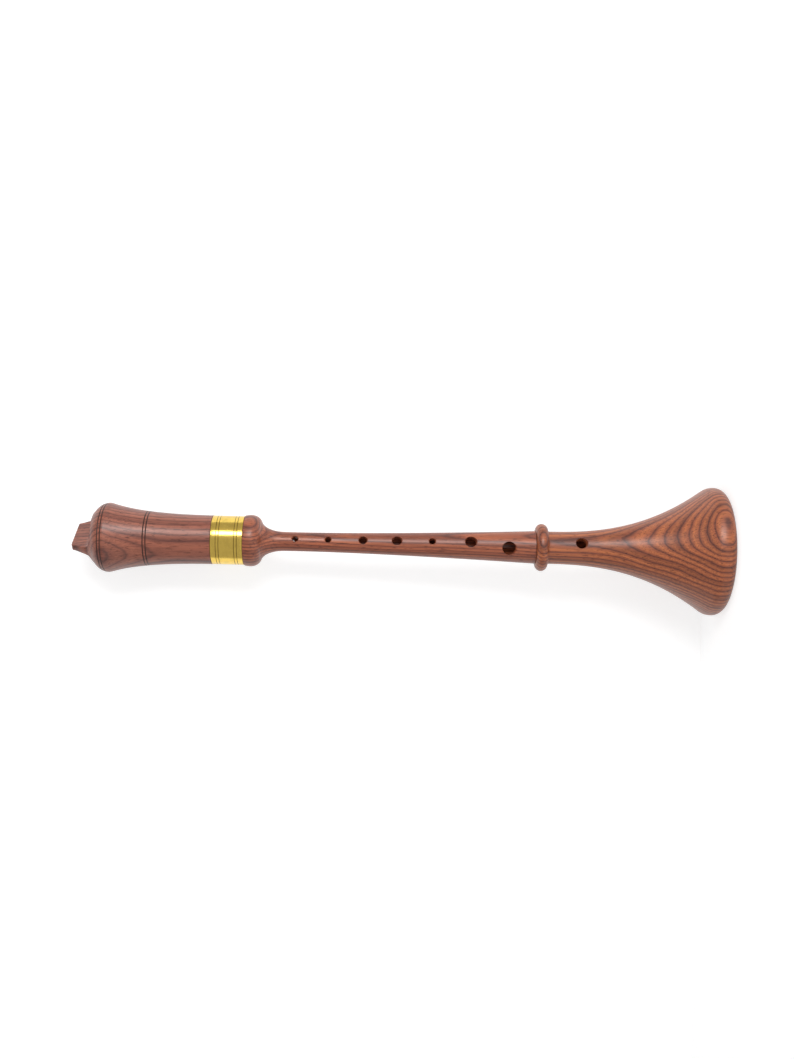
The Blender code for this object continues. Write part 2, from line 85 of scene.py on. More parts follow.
# Body
STEM_RADIUS = 0.0072
STEM_START = 0.170           # height above the foot where the taper has reached the slim radius
FOOT_RADIUS = 0.0123
TAPER_POWER = 1.5
KNOB_HEAD_RADIUS = 0.0188    # flat head beside the ferrule
KNOB_EDGE = ((0.0190, 0.0003), (0.0194, 0.0015))   # handles of its rounded edge
KNOB_RADIUS = 0.0194
KNOB_CREST = 0.0045          # shoulder down to the knob's greatest radius
KNOB_ROUND = (0.0068, 0.008)     # half axes of the round shoulder below it
KNOB_ROUND_END = -78         # degrees
KNOB_HOLLOW = 0.018          # length of the hollow towards the stem
KNOB_TO_STEM = 0.026         # crest down to the stem
HOLLOW_START = (0.4, 0.12)   # its upper handle, as shares of its width and length
HOLLOW_END = 0.55            # its lower handle, as a share of its length
UPPER_TENON_RADIUS = 0.0128
LOWER_TENON_RADIUS = 0.0081
TENON_EDGE = 0.0003
TENON_LAND = 0.002           # plain wood at each end of a tenon's thread groove
TENON_GROOVE = 0.0009
BORE_FOOT_RADIUS = 0.0057
BORE_TOP_RADIUS = 0.0021
WELL_DEPTH = 0.010           # reed well in the head of the upper tenon
WELL_RADIUS = 0.0038

# Each hole: height above the foot, diameter, turn from the front in degrees; the last is the thumb's
HOLES = ((0.0201, 0.0100, -24.0), (0.0486, 0.0083, 0.0), (0.0774, 0.0045, 0.0), (0.1038, 0.0070, 0.0),
         (0.1292, 0.0060, 0.0), (0.1554, 0.0043, 0.0), (0.1801, 0.0043, 0.0), (0.183, 0.0045, 180.0))
HOLE_EASE = 0.0006           # size of a hole's softened rim

# Windcap, heights from its open end unless said otherwise
BULB_RADIUS = 0.0261
BULB_HEIGHT = 0.1017
BULB_ROUND = 0.004           # how far below the greatest radius the swell turns upright
SWEEP_START = 0.0623         # height above the ferrule of the swell's lower handle
WAIST_RADIUS = 0.0184        # outside of the ferrule and of the wood just above it
DOME_DEPTH = 0.0137          # height that the dome would have if it ran on to its top
DOME_EDGE_RADIUS = 0.0200
DOME_EDGE_HEIGHT = 0.1117
SPOUT_ROOT = (0.0176, 0.1149)
SPOUT_TIP = (0.01345, 0.002)     # radius, and distance below the tip
SPOUT_HANDLES = ((0.0148, 0.006), (0.0168, 0.0095))
TIP_ROUND = (0.0121, 0.0012)     # centre radius and radius of the tip's rounded edge
BLADE_TURN = math.radians(33.0)
BLADE_HALF_THICKNESS = 0.0021
BLADE_ROOT_HALF_THICKNESS = 0.0032
BLADE_ROOT_HEIGHT = 0.1183
BLADE_FILLET = 0.0055
SLOT_HALF_WIDTH = 0.007
SLOT_HALF_THICKNESS = 0.0009
FERRULE_SEAT_RADIUS = 0.0171
CAVITY_RADIUS = 0.0135
CAVITY_DEPTH = 0.104
CAVITY_ROUND = (0.0075, 0.006)   # centre radius and radius of the hollow's rounded end
OVERRUN = 0.002              # how far a cutter runs past the face that it opens
CAP_LINES = (0.0709, 0.0730, 0.1031, 0.1053)
CAP_LINE_WIDTH = 0.0008
CAP_LINE_DEPTH = 0.0004
CAP_LINE_DARK = 0.00042      # half width of the darkened band in each line

# Ferrule
FERRULE_INNER_RADIUS = 0.0174
FERRULE_EDGE = 0.00025
FERRULE_LINES = (0.0040, 0.0061)     # distances from each edge
FERRULE_LINE_WIDTH = 0.0004
FERRULE_LINE_DEPTH = 0.0002
FERRULE_LINE_TARNISH = 0.00022       # half width of the darkened band in each line

GROOVE_STEPS = 6
LINE_LEAST_RADIUS = 0.0180   # faces further in than this lie in a bore, not in a line

# Wound thread
POINTS_PER_TURN = 6
TENON_THREAD = 0.001         # thickness of the winding
TENON_PITCH = 0.0006
TENON_RIDGE = 0.00018
BINDING_TOP_RADIUS = 0.00475
BINDING_FOOT_RADIUS = 0.0034
BINDING_INNER_RADIUS = 0.00275
BINDING_PITCH = 0.00045
BINDING_RIDGE = 0.00012
BASE_EDGE_RADIUS = 0.0028
BASE_SWELL = 0.0007
BASE_INNER_RADIUS = 0.0026
BASE_PITCH = 0.0006
BASE_RIDGE = 0.00015

# Stage
FLOOR_REACH = 4.0
BOARD_HALF_WIDTH = 0.7
BOARD_HEIGHT = 1.0
BOARD_GAP = 0.001
STAGE_PALE = (0.80, 0.80, 0.80, 1.0)     # what the light that bounces off the stage meets
STAGE_SHOWN = (0.48, 0.48, 0.48, 1.0)    # what the camera sees, with the glow added up to white
STAGE_GLOW = 0.72

# Light, strengths of the world's even light and of what the camera sees beyond it, and watts
WORLD_LIGHT = 0.50
WORLD_SHOWN = 0.50
KEY_WATTS = 9.0
FILL_WATTS = 6.0
LIT_HEIGHT = 0.25            # height on the bore that the lamps point at

# Photograph's camera, metres and pixels
FRAME_WIDTH = 794
FRAME_HEIGHT = 1059
FOCAL_PIXELS = 1125.0
CAMERA_DISTANCE = 0.848
CAMERA_HEIGHT = 0.244
CAMERA_TURN = math.radians(-19.0)
AXIS_DROP_PIXELS = 14.6      # how far the bore lies below the middle of the picture
AXIS_SLOPE = math.radians(1.36)
SENSOR = 36.0                # millimetres
TOWARD_CAMERA = Vector((math.sin(CAMERA_TURN), -math.cos(CAMERA_TURN), 0.0))
IMAGE_UP = Vector((math.cos(CAMERA_TURN), math.sin(CAMERA_TURN), 0.0))


# Outlines, as lists of (radius, height) points

def arc(centre_radius, centre_height, half_radius, half_height, start, end, steps):
    """Stretch of an ellipse; 0 degrees points outwards and 90 degrees points up."""
    points = []
    for step in range(steps + 1):
        angle = math.radians(start + (end - start) * step / steps)
        points.append((centre_radius + half_radius * math.cos(angle),
                       centre_height + half_height * math.sin(angle)))
    return points


def bezier(start, start_handle, end_handle, end, steps):
    """Cubic curve from start to end."""
    points = []
    for step in range(steps + 1):
        t = step / steps
        weights = ((1 - t) ** 3, 3 * t * (1 - t) ** 2, 3 * t * t * (1 - t), t ** 3)
        corners = (start, start_handle, end_handle, end)
        points.append(tuple(sum(w * c[axis] for w, c in zip(weights, corners)) for axis in (0, 1)))
    return points


def power_taper(start, end, power, steps):
    """Taper that leaves start along the bore and opens ever faster towards end."""
    return [(start[0] + (end[0] - start[0]) * (step / steps) ** power,
             start[1] + (end[1] - start[1]) * step / steps) for step in range(steps + 1)]


def joined(*stretches):
    """Join stretches of an outline, leaving out a point that repeats the one before."""
    points = []
    for stretch in stretches:
        for point in stretch:
            if not points or math.dist(points[-1], point) > SAME_POINT:
                points.append(point)
    return points


def radius_at(outline, height):
    """Radius of a falling outline at one height."""
    for upper, lower in zip(outline, outline[1:]):
        if lower[1] <= height <= upper[1]:
            share = (upper[1] - height) / max(upper[1] - lower[1], 1e-9)
            return upper[0] + (lower[0] - upper[0]) * share
    return outline[-1][0]


def grooved(outline, heights, width, depth):
    """Cut shallow rounded grooves into an outline that runs down."""
    points = list(outline)
    for height in heights:
        cuts = []
        for step in range(GROOVE_STEPS + 1):
            level = height + width * (0.5 - step / GROOVE_STEPS)
            inset = depth * math.sin(math.pi * step / GROOVE_STEPS)
            cuts.append((radius_at(outline, level) - inset, level))
        above = [point for point in points if point[1] > cuts[0][1]]
        below = [point for point in points if point[1] < cuts[-1][1]]
        points = above + cuts + below
    return points


# Meshes

def linked(name, mesh):
    """New object in the scene."""
    item = bpy.data.objects.new(name, mesh)
    bpy.context.scene.collection.objects.link(item)
    return item


def turned(name, outline, facets=TURNED_FACETS, closed=True):
    """Turn an outline round the bore and return the finished mesh object."""
    mesh = bpy.data.meshes.new(name)
    last = len(outline) - 1
    edges = [(index, index + 1) for index in range(last)] + ([(last, 0)] if closed else [])
    mesh.from_pydata([(radius, 0.0, height) for radius, height in outline], edges, [])
    item = linked(name, mesh)
    screw = item.modifiers.new("turning", "SCREW")
    screw.steps = facets
    screw.render_steps = facets
    screw.use_merge_vertices = True
    screw.merge_threshold = SAME_POINT
    return settle(item)


def settle(item):
    """Apply an object's modifiers and shade it smooth except at sharp edges."""
    graph = bpy.context.evaluated_depsgraph_get()
    graph.update()
    mesh = bpy.data.meshes.new_from_object(item.evaluated_get(graph))
    item.modifiers.clear()
    item.data = mesh
    mesh.shade_smooth()
    mesh.set_sharp_from_angle(angle=SHARP_EDGE)
    return item


def cut(item, cutters):
    """Take cutters out of a piece and remove them."""
    for cutter in cutters:
        difference = item.modifiers.new("cut", "BOOLEAN")
        difference.operation = "DIFFERENCE"
        difference.solver = "EXACT"
        difference.object = cutter
    settle(item)
    for cutter in cutters:
        bpy.data.objects.remove(cutter, do_unlink=True)


def cutter_from(name, shape):
    """Object from a bmesh, with its faces turned outwards."""
    mesh = bpy.data.meshes.new(name)
    bmesh.ops.recalc_face_normals(shape, faces=shape.faces)
    shape.to_mesh(mesh)
    shape.free()
    return linked(name, mesh)


def drill(radius, surface, height, turn):
    """Cutter for a hole with a softly countersunk rim where it meets the surface's radius."""
    profile = [(radius, 0.0), (radius, surface - 1.6 * HOLE_EASE),
               (radius + 0.3 * HOLE_EASE, surface - 0.8 * HOLE_EASE),
               (radius + HOLE_EASE, surface - 0.1 * HOLE_EASE),
               (radius + 3 * HOLE_EASE, surface + 3 * HOLE_EASE)]
    shape = bmesh.new()
    rings = []
    for ring_radius, reach in profile:
        angles = [2 * math.pi * index / HOLE_FACETS for index in range(HOLE_FACETS)]
        rings.append([shape.verts.new((ring_radius * math.cos(angle), ring_radius * math.sin(angle), reach))
                      for angle in angles])
    for lower, upper in zip(rings, rings[1:]):
        for index in range(HOLE_FACETS):
            beside = (index + 1) % HOLE_FACETS
            shape.faces.new((lower[index], lower[beside], upper[beside], upper[index]))
    shape.faces.new(rings[0])
    shape.faces.new(rings[-1])
    item = cutter_from("drill", shape)
    item.location = (0.0, 0.0, height)
    item.rotation_euler = (math.pi / 2, 0.0, math.radians(turn))
    return item


def prism(outline, half_width, turn):
    """Cutter with one outline of (side, height) points, drawn out along its X axis."""
    shape = bmesh.new()
    face = shape.faces.new([shape.verts.new((-half_width, -side, height)) for side, height in outline])
    drawn = bmesh.ops.extrude_face_region(shape, geom=[face])
    moved = [part for part in drawn["geom"] if isinstance(part, bmesh.types.BMVert)]
    bmesh.ops.translate(shape, verts=moved, vec=(2 * half_width, 0.0, 0.0))
    item = cutter_from("prism", shape)
    item.rotation_euler.z = turn
    return item


# Shader nodes

def new_finish(name):
    """New material, its tree, its shader and the object's own coordinates."""
    finish = bpy.data.materials.new(name)
    finish.use_nodes = True
    tree = finish.node_tree
    place = tree.nodes.new("ShaderNodeTexCoord").outputs["Object"]
    return finish, tree, tree.nodes["Principled BSDF"], place


def math_node(tree, operation, first, second=None):
    """Math node on sockets or numbers."""
    node = tree.nodes.new("ShaderNodeMath")
    node.operation = operation
    for index, value in enumerate((first, second)):
        if value is None:
            continue
        if isinstance(value, (int, float)):
            node.inputs[index].default_value = value
        else:
            tree.links.new(value, node.inputs[index])
    return node.outputs[0]


def noise(tree, coordinates, scale, stretch, detail=4.0, roughness=0.6):
    """Noise on coordinates that are first scaled along each axis."""
    mapping = tree.nodes.new("ShaderNodeMapping")
    mapping.inputs["Scale"].default_value = stretch
    tree.links.new(coordinates, mapping.inputs["Vector"])
    node = tree.nodes.new("ShaderNodeTexNoise")
    node.inputs["Scale"].default_value = scale
    node.inputs["Detail"].default_value = detail
    node.inputs["Roughness"].default_value = roughness
    tree.links.new(mapping.outputs[0], node.inputs["Vector"])
    return node.outputs[0]


def ramp(tree, value, *stops):
    """Colour ramp of (position, colour) stops."""
    node = tree.nodes.new("ShaderNodeValToRGB")
    node.color_ramp.elements[0].position = stops[0][0]
    node.color_ramp.elements[0].color = (*stops[0][1], 1.0)
    node.color_ramp.elements[1].position = stops[-1][0]
    node.color_ramp.elements[1].color = (*stops[-1][1], 1.0)
    for position, colour in stops[1:-1]:
        node.color_ramp.elements.new(position).color = (*colour, 1.0)
    tree.links.new(value, node.inputs[0])
    return node.outputs[0]


def mix(tree, share, first, second, mode="MIX"):
    """Colour mix."""
    node = tree.nodes.new("ShaderNodeMix")
    node.data_type = "RGBA"
    node.blend_type = mode
    for socket, value in ((node.inputs[0], share), (node.inputs[6], first), (node.inputs[7], second)):
        if isinstance(value, (int, float)):
            socket.default_value = value
        elif isinstance(value, tuple):
            socket.default_value = (*value, 1.0)
        else:
            tree.links.new(value, socket)
    return node.outputs[2]


def add_roughness(tree, shader, value, at_zero, at_one):
    """Roughness that follows a value between 0 and 1."""
    rough = tree.nodes.new("ShaderNodeMapRange")
    rough.inputs["To Min"].default_value = at_zero
    rough.inputs["To Max"].default_value = at_one
    tree.links.new(value, rough.inputs["Value"])
    tree.links.new(rough.outputs[0], shader.inputs["Roughness"])


def add_bump(tree, shader, height, strength, distance):
    """Fine relief that follows a value."""
    bump = tree.nodes.new("ShaderNodeBump")
    bump.inputs["Strength"].default_value = strength
    bump.inputs["Distance"].default_value = distance
    tree.links.new(height, bump.inputs["Height"])
    tree.links.new(bump.outputs[0], shader.inputs["Normal"])


# Finishes

BLACK = (0.0, 0.0, 0.0)
WHITE = (1.0, 1.0, 1.0)
EVEN = (1.0, 1.0, 1.0)       # stretch of a noise that is the same along each axis
RING_WANDER = 0.7            # greatest wander of a growth ring, in rings
BAND_RATE = 0.31             # broad bands of colour in one growth ring
BAND_SHARE = 0.75            # how strongly bands, streaks and pores tint the wood
STREAK_SHARE = 0.8
PORE_SHARE = 0.8


def ring_phase(tree, place, pith, ring_width, wander):
    """Count of growth rings from the pith, which wanders and varies along the wood."""
    split = tree.nodes.new("ShaderNodeSeparateXYZ")
    tree.links.new(place, split.inputs[0])
    sway = noise(tree, place, scale=16.0, stretch=(1.0, 1.0, 0.35), detail=2.0)
    shift = math_node(tree, "MULTIPLY", math_node(tree, "SUBTRACT", sway, 0.5), wander)
    from_x = math_node(tree, "SUBTRACT", split.outputs[0], pith[0])
    from_y = math_node(tree, "SUBTRACT", split.outputs[1], pith[1])
    squares = math_node(tree, "ADD", math_node(tree, "MULTIPLY", from_x, from_x),
                        math_node(tree, "MULTIPLY", from_y, from_y))
    distance = math_node(tree, "ADD", math_node(tree, "SQRT", squares), shift)
    count = math_node(tree, "DIVIDE", distance, ring_width)
    uneven = noise(tree, place, scale=60.0, stretch=(1.0, 1.0, 0.12), detail=3.0)
    return math_node(tree, "ADD", count, math_node(tree, "MULTIPLY", uneven, RING_WANDER))


def wood(name, pith, ring_width, light, middle, dark, wander, streaks, contrast):
    """Oiled rosewood: growth rings round a pith beside the bore, fine streaks and pores along it."""
    finish, tree, shader, place = new_finish(name)
    phase = ring_phase(tree, place, pith, ring_width, wander)
    ring = math_node(tree, "FRACT", phase)
    rings = ramp(tree, ring, (0.0, dark), (0.12, middle), (0.55, light), (0.82, middle), (1.0, dark))
    base = mix(tree, contrast, middle, rings)

    broad = math_node(tree, "FRACT", math_node(tree, "MULTIPLY", phase, BAND_RATE))
    bands = ramp(tree, broad, (0.0, (0.55, 0.50, 0.55)), (0.35, WHITE), (0.8, (0.95, 0.9, 0.9)),
                 (1.0, (0.55, 0.5, 0.55)))
    base = mix(tree, BAND_SHARE, base, bands, "MULTIPLY")

    fine = noise(tree, place, scale=900.0, stretch=(1.0, 1.0, streaks), detail=5.0, roughness=0.7)
    grain = ramp(tree, fine, (0.30, (0.42, 0.38, 0.40)), (0.52, WHITE), (0.75, (1.25, 1.15, 1.05)))
    base = mix(tree, STREAK_SHARE, base, grain, "MULTIPLY")

    pores = noise(tree, place, scale=1500.0, stretch=(1.0, 1.0, 0.10), detail=2.0, roughness=0.5)
    pits = ramp(tree, pores, (0.33, (0.25, 0.18, 0.18)), (0.40, WHITE))
    base = mix(tree, PORE_SHARE, base, pits, "MULTIPLY")

    tree.links.new(base, shader.inputs["Base Color"])
    add_roughness(tree, shader, fine, at_zero=0.46, at_one=0.32)
    shader.inputs["Coat Weight"].default_value = 0.12
    shader.inputs["Coat Roughness"].default_value = 0.25
    add_bump(tree, shader, math_node(tree, "ADD", fine, pores), strength=0.25, distance=0.0001)
    return finish


def dark_line_wood(name):
    """Dark wood, unevenly toned, at the bottom of a turned line."""
    finish, tree, shader, place = new_finish(name)
    mottle = noise(tree, place, scale=400.0, stretch=EVEN, detail=3.0)
    tree.links.new(ramp(tree, mottle, (0.3, (0.022, 0.008, 0.007)), (0.75, (0.07, 0.025, 0.018))),
                   shader.inputs["Base Color"])
    shader.inputs["Roughness"].default_value = 0.4
    return finish


def brass(name, colour):
    """Polished brass with fine turning marks and slight tarnish."""
    finish, tree, shader, place = new_finish(name)
    marks = noise(tree, place, scale=4000.0, stretch=(0.02, 0.02, 1.0), detail=3.0)
    cloud = noise(tree, place, scale=120.0, stretch=EVEN)
    dull = tuple(channel * 0.8 for channel in colour)
    tarnish = ramp(tree, cloud, (0.45, BLACK), (0.75, WHITE))
    tree.links.new(mix(tree, tarnish, colour, dull), shader.inputs["Base Color"])
    shader.inputs["Metallic"].default_value = 1.0
    add_roughness(tree, shader, cloud, at_zero=0.10, at_one=0.26)
    add_bump(tree, shader, marks, strength=0.12, distance=0.00005)
    return finish


def thread(name, colour):
    """Waxed thread: fibres and uneven dye."""
    finish, tree, shader, place = new_finish(name)
    fibre = noise(tree, place, scale=2500.0, stretch=(1.0, 1.0, 3.0))
    low = tuple(channel * 0.55 for channel in colour)
    tree.links.new(ramp(tree, fibre, (0.3, low), (0.65, colour)), shader.inputs["Base Color"])
    shader.inputs["Roughness"].default_value = 0.6
    shader.inputs["Sheen Weight"].default_value = 0.25
    add_bump(tree, shader, fibre, strength=0.4, distance=0.0001)
    return finish


def cane(name):
    """Scraped cane: ivory, with long fibres."""
    finish, tree, shader, place = new_finish(name)
    fibre = noise(tree, place, scale=1400.0, stretch=(1.0, 1.0, 0.03), detail=5.0)
    tree.links.new(ramp(tree, fibre, (0.3, (0.52, 0.42, 0.24)), (0.6, (0.82, 0.74, 0.52))),
                   shader.inputs["Base Color"])
    shader.inputs["Roughness"].default_value = 0.5
    shader.inputs["Subsurface Weight"].default_value = 0.05
    add_bump(tree, shader, fibre, strength=0.3, distance=0.0001)
    return finish


def wear_only(mesh, finish):
    """Give a mesh one finish and no other."""
    mesh.materials.clear()
    mesh.materials.append(finish)


def paint_lines(item, heights, half_width, finish):
    """Give the faces inside turned lines a finish of their own."""
    item.data.materials.append(finish)
    index = len(item.data.materials) - 1
    for face in item.data.polygons:
        centre = face.center
        if math.hypot(centre.x, centre.y) > LINE_LEAST_RADIUS:
            if any(abs(centre.z - height) < half_width for height in heights):
                face.material_index = index


# Pieces

def make_bell(finish):
    """Bell with its bead, flare, rolled lip and vent hole."""
    bead_foot = BELL_TOP - BEAD_WIDTH
    bead = arc(BEAD_RADIUS - BEAD_ROUND, BELL_TOP - BEAD_WIDTH / 2, BEAD_ROUND, BEAD_WIDTH / 2, 90, -90, 24)
    fillet = arc(THROAT_RADIUS + BEAD_FILLET, bead_foot - BEAD_FILLET, BEAD_FILLET, BEAD_FILLET, 90, 180, 4)
    flare = power_taper((THROAT_RADIUS, bead_foot - BEAD_FILLET), ROLL, FLARE_POWER, 60)
    slope = FLARE_POWER * (ROLL[0] - THROAT_RADIUS) / (bead_foot - ROLL[1])
    handle = (ROLL[1] - LIP_HEIGHT) / 3
    roll = bezier(ROLL, (ROLL[0] + handle * slope, ROLL[1] - handle),
                  (LIP_RADIUS, LIP_HEIGHT + handle), (LIP_RADIUS, LIP_HEIGHT), 12)
    lip = arc(RIM_OUTER_RADIUS, LIP_HEIGHT, LIP_RADIUS - RIM_OUTER_RADIUS, LIP_HEIGHT, 0, -90, 20)
    floor = BELL_TOP - SOCKET_DEPTH
    bore = power_taper((BELL_BORE_RADIUS, floor), (RIM_INNER_RADIUS, 0.0), BELL_BORE_POWER, 50)
    socket = [(SOCKET_RADIUS, floor), (SOCKET_RADIUS, BELL_TOP - SOCKET_CHAMFER),
              (SOCKET_RADIUS + SOCKET_CHAMFER, BELL_TOP)]
    bell = turned("bell_wood_piece", joined(bead, fillet, flare, roll, lip, reversed(bore), socket))
    cut(bell, [drill(VENT_RADIUS, VENT_SURFACE, VENT_HEIGHT, 0.0)])
    wear_only(bell.data, finish)
    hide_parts("bell")
    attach(bell, "bell")


def tenon(radius, top, bottom):
    """Outline of a tenon with softened ends and a groove for its thread."""
    groove = radius - TENON_GROOVE
    return [(radius - TENON_EDGE, top), (radius, top - TENON_EDGE), (radius, top - TENON_LAND),
            (groove, top - TENON_LAND), (groove, bottom + TENON_LAND), (radius, bottom + TENON_LAND),
            (radius, bottom + TENON_EDGE), (radius - TENON_EDGE, bottom)]


def make_body(finish):
    """Body with its tenons, knob, tapering stem, finger holes and thumb hole."""
    crest = SHOULDER - KNOB_CREST
    start, end = KNOB_EDGE
    head = bezier((KNOB_HEAD_RADIUS, SHOULDER), (start[0], SHOULDER - start[1]),
                  (end[0], crest + end[1]), (KNOB_RADIUS, crest), 10)
    shoulder = arc(KNOB_RADIUS - KNOB_ROUND[0], crest, *KNOB_ROUND, 0, KNOB_ROUND_END, 20)
    neck = shoulder[-1]
    stem_top = (STEM_RADIUS, crest - KNOB_TO_STEM)
    hollow = bezier(neck, (STEM_RADIUS + (neck[0] - STEM_RADIUS) * HOLLOW_START[0],
                           neck[1] - KNOB_HOLLOW * HOLLOW_START[1]),
                    (STEM_RADIUS, stem_top[1] + KNOB_HOLLOW * HOLLOW_END), stem_top, 24)
    taper = power_taper((STEM_RADIUS, BODY_FOOT + STEM_START), (FOOT_RADIUS, BODY_FOOT), TAPER_POWER, 60)
    foot = BELL_TOP - SOCKET_DEPTH + GAP
    floor = BODY_TOP - WELL_DEPTH
    bore = [(BORE_FOOT_RADIUS, foot), (BORE_TOP_RADIUS, floor)]
    well = [(WELL_RADIUS, floor), (WELL_RADIUS, BODY_TOP - TENON_EDGE), (WELL_RADIUS + TENON_EDGE, BODY_TOP)]
    body = turned("body_wood_piece", joined(tenon(UPPER_TENON_RADIUS, BODY_TOP, SHOULDER), head, shoulder,
                                            hollow, taper, tenon(LOWER_TENON_RADIUS, BODY_FOOT, foot),
                                            bore, well))
    stem = joined(shoulder, hollow, taper)
    cut(body, [drill(diameter / 2, radius_at(stem, BODY_FOOT + height), BODY_FOOT + height, turn)
               for height, diameter, turn in HOLES])
    wear_only(body.data, finish)
    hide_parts("body")
    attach(body, "body")


def windcap_outline(heights):
    """Outline of the windcap before its blade is cut, from the tip down and back up the hollow."""
    crest = CAP_FOOT + BULB_HEIGHT
    edge = (DOME_EDGE_RADIUS, CAP_FOOT + DOME_EDGE_HEIGHT)
    root = (SPOUT_ROOT[0], CAP_FOOT + SPOUT_ROOT[1])
    tip = arc(TIP_ROUND[0], CAP_TIP - TIP_ROUND[1], TIP_ROUND[1], TIP_ROUND[1], 90, 5, 6)
    handles = [(radius, CAP_TIP - drop) for radius, drop in (SPOUT_TIP, *SPOUT_HANDLES)]
    spout = joined([(0.0, CAP_TIP)], tip, bezier(*handles, root, 10))
    start = math.asin((edge[1] - crest) / DOME_DEPTH)
    centre = (edge[0] - BULB_RADIUS * math.cos(start)) / (1 - math.cos(start))
    dome = arc(centre, crest, BULB_RADIUS - centre, DOME_DEPTH, math.degrees(start), 0, 24)
    foot = FERRULE_TOP + GAP
    sweep = bezier((BULB_RADIUS, crest), (BULB_RADIUS, crest - BULB_ROUND),
                   (WAIST_RADIUS, FERRULE_TOP + SWEEP_START), (WAIST_RADIUS, foot), 60)
    side = grooved(joined(dome, sweep), heights, CAP_LINE_WIDTH, CAP_LINE_DEPTH)
    seat = [(FERRULE_SEAT_RADIUS, foot), (FERRULE_SEAT_RADIUS, CAP_FOOT)]
    end = CAP_FOOT + CAVITY_DEPTH
    dip = arc(CAVITY_ROUND[0], end - CAVITY_ROUND[1], CAVITY_ROUND[1], CAVITY_ROUND[1], 0, 90, 10)
    return joined(spout, side, seat, [(CAVITY_RADIUS, CAP_FOOT)], dip, [(0.0, end)])


def blade_cutters():
    """Cutters for the blade's two flanks and its blow slot."""
    root = CAP_FOOT + BLADE_ROOT_HEIGHT
    top = CAP_TIP + OVERRUN
    fillet = arc(BLADE_ROOT_HALF_THICKNESS + BLADE_FILLET, root, BLADE_FILLET, BLADE_FILLET, 180, 270, 16)
    flank = joined([(BLADE_HALF_THICKNESS, top)], fillet,
                   [(BULB_RADIUS, CAP_FOOT + DOME_EDGE_HEIGHT + GAP), (BULB_RADIUS, top)])
    other = [(-side, height) for side, height in reversed(flank)]
    floor = CAP_FOOT + CAVITY_DEPTH - OVERRUN
    slot = [(-SLOT_HALF_THICKNESS, floor), (SLOT_HALF_THICKNESS, floor),
            (SLOT_HALF_THICKNESS, top), (-SLOT_HALF_THICKNESS, top)]
    return [prism(flank, BULB_RADIUS, BLADE_TURN), prism(other, BULB_RADIUS, BLADE_TURN),
            prism(slot, SLOT_HALF_WIDTH, BLADE_TURN)]


def make_windcap(finish):
    """Windcap with its bulb, turned lines, hollow, blade and blow slot."""
    heights = [CAP_FOOT + height for height in CAP_LINES]
    cap = turned("windcap_wood_piece", windcap_outline(heights), closed=False)
    cut(cap, blade_cutters())
    wear_only(cap.data, finish)
    paint_lines(cap, heights, CAP_LINE_DARK, dark_line_wood("dark line"))
    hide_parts("windcap")
    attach(cap, "windcap")


def make_ferrule(finish):
    """Brass sleeve with softened edges and engraved double lines."""
    radius = WAIST_RADIUS - FERRULE_EDGE
    outside = joined(arc(radius, FERRULE_TOP - FERRULE_EDGE, FERRULE_EDGE, FERRULE_EDGE, 90, 0, 5),
                     arc(radius, CAP_FOOT + FERRULE_EDGE, FERRULE_EDGE, FERRULE_EDGE, 0, -90, 5))
    lines = sorted([CAP_FOOT + line for line in FERRULE_LINES]
                   + [FERRULE_TOP - line for line in FERRULE_LINES])
    outside = grooved(outside, lines, FERRULE_LINE_WIDTH, FERRULE_LINE_DEPTH)
    inside = [(FERRULE_INNER_RADIUS, CAP_FOOT), (FERRULE_INNER_RADIUS, FERRULE_TOP)]
    sleeve = turned("ferrule_piece", joined(outside, inside))
    sleeve.data.materials.append(finish)
    paint_lines(sleeve, lines, FERRULE_LINE_TARNISH, brass("tarnished line", (0.20, 0.11, 0.02)))
    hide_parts("windcap_ferrule")
    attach(sleeve, "windcap")


def make_winding(name, node, body, outline, pitch, depth, finish):
    """Wound thread in place of a node: its outside from top to foot, then its inner radius."""
    outside, inner = outline[:-1], outline[-1][0]
    top, foot = outside[0][1], outside[-1][1]
    ridged = []
    steps = max(2, round((top - foot) / pitch)) * POINTS_PER_TURN
    for step in range(steps + 1):
        height = top + (foot - top) * step / steps
        ridge = depth * abs(math.sin(math.pi * step / POINTS_PER_TURN))
        ridged.append((radius_at(outside, height) - depth + ridge, height))
    piece = turned(name, joined(ridged, [(inner, foot), (inner, top)]), THREAD_FACETS)
    piece.data.materials.append(finish)
    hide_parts(node)
    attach(piece, body)


def make_windings():
    """The thread on both tenons and on the reed."""
    for name, node, slot in (("upper_thread_piece", "upper_tenon_lapping", "upper_thread"),
                             ("lower_thread_piece", "lower_tenon_lapping", "lower_thread")):
        low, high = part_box(node)
        outer = high[0]
        make_winding(name, node, "body",
                     [(outer, high[2]), (outer, low[2]), (outer - TENON_THREAD, low[2])],
                     TENON_PITCH, TENON_RIDGE, thread(slot + "_finish", (0.33, 0.05, 0.03)))
    low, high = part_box("reed_binding")
    cone = [(BINDING_TOP_RADIUS, high[2]), (BINDING_FOOT_RADIUS, low[2])]
    make_winding("black_thread_piece", "reed_binding", "reed",
                 cone + [(BINDING_INNER_RADIUS, low[2])],
                 BINDING_PITCH, BINDING_RIDGE, thread("black_thread_finish", (0.02, 0.02, 0.022)))
    low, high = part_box("reed_base_lapping")
    barrel = arc(BASE_EDGE_RADIUS, (low[2] + high[2]) / 2, BASE_SWELL, (high[2] - low[2]) / 2, 90, -90, 20)
    make_winding("yellow_thread_piece", "reed_base_lapping", "reed",
                 barrel + [(BASE_INNER_RADIUS, low[2])],
                 BASE_PITCH, BASE_RIDGE, thread("yellow_thread_finish", (0.85, 0.55, 0.03)))


# Stage, light and camera

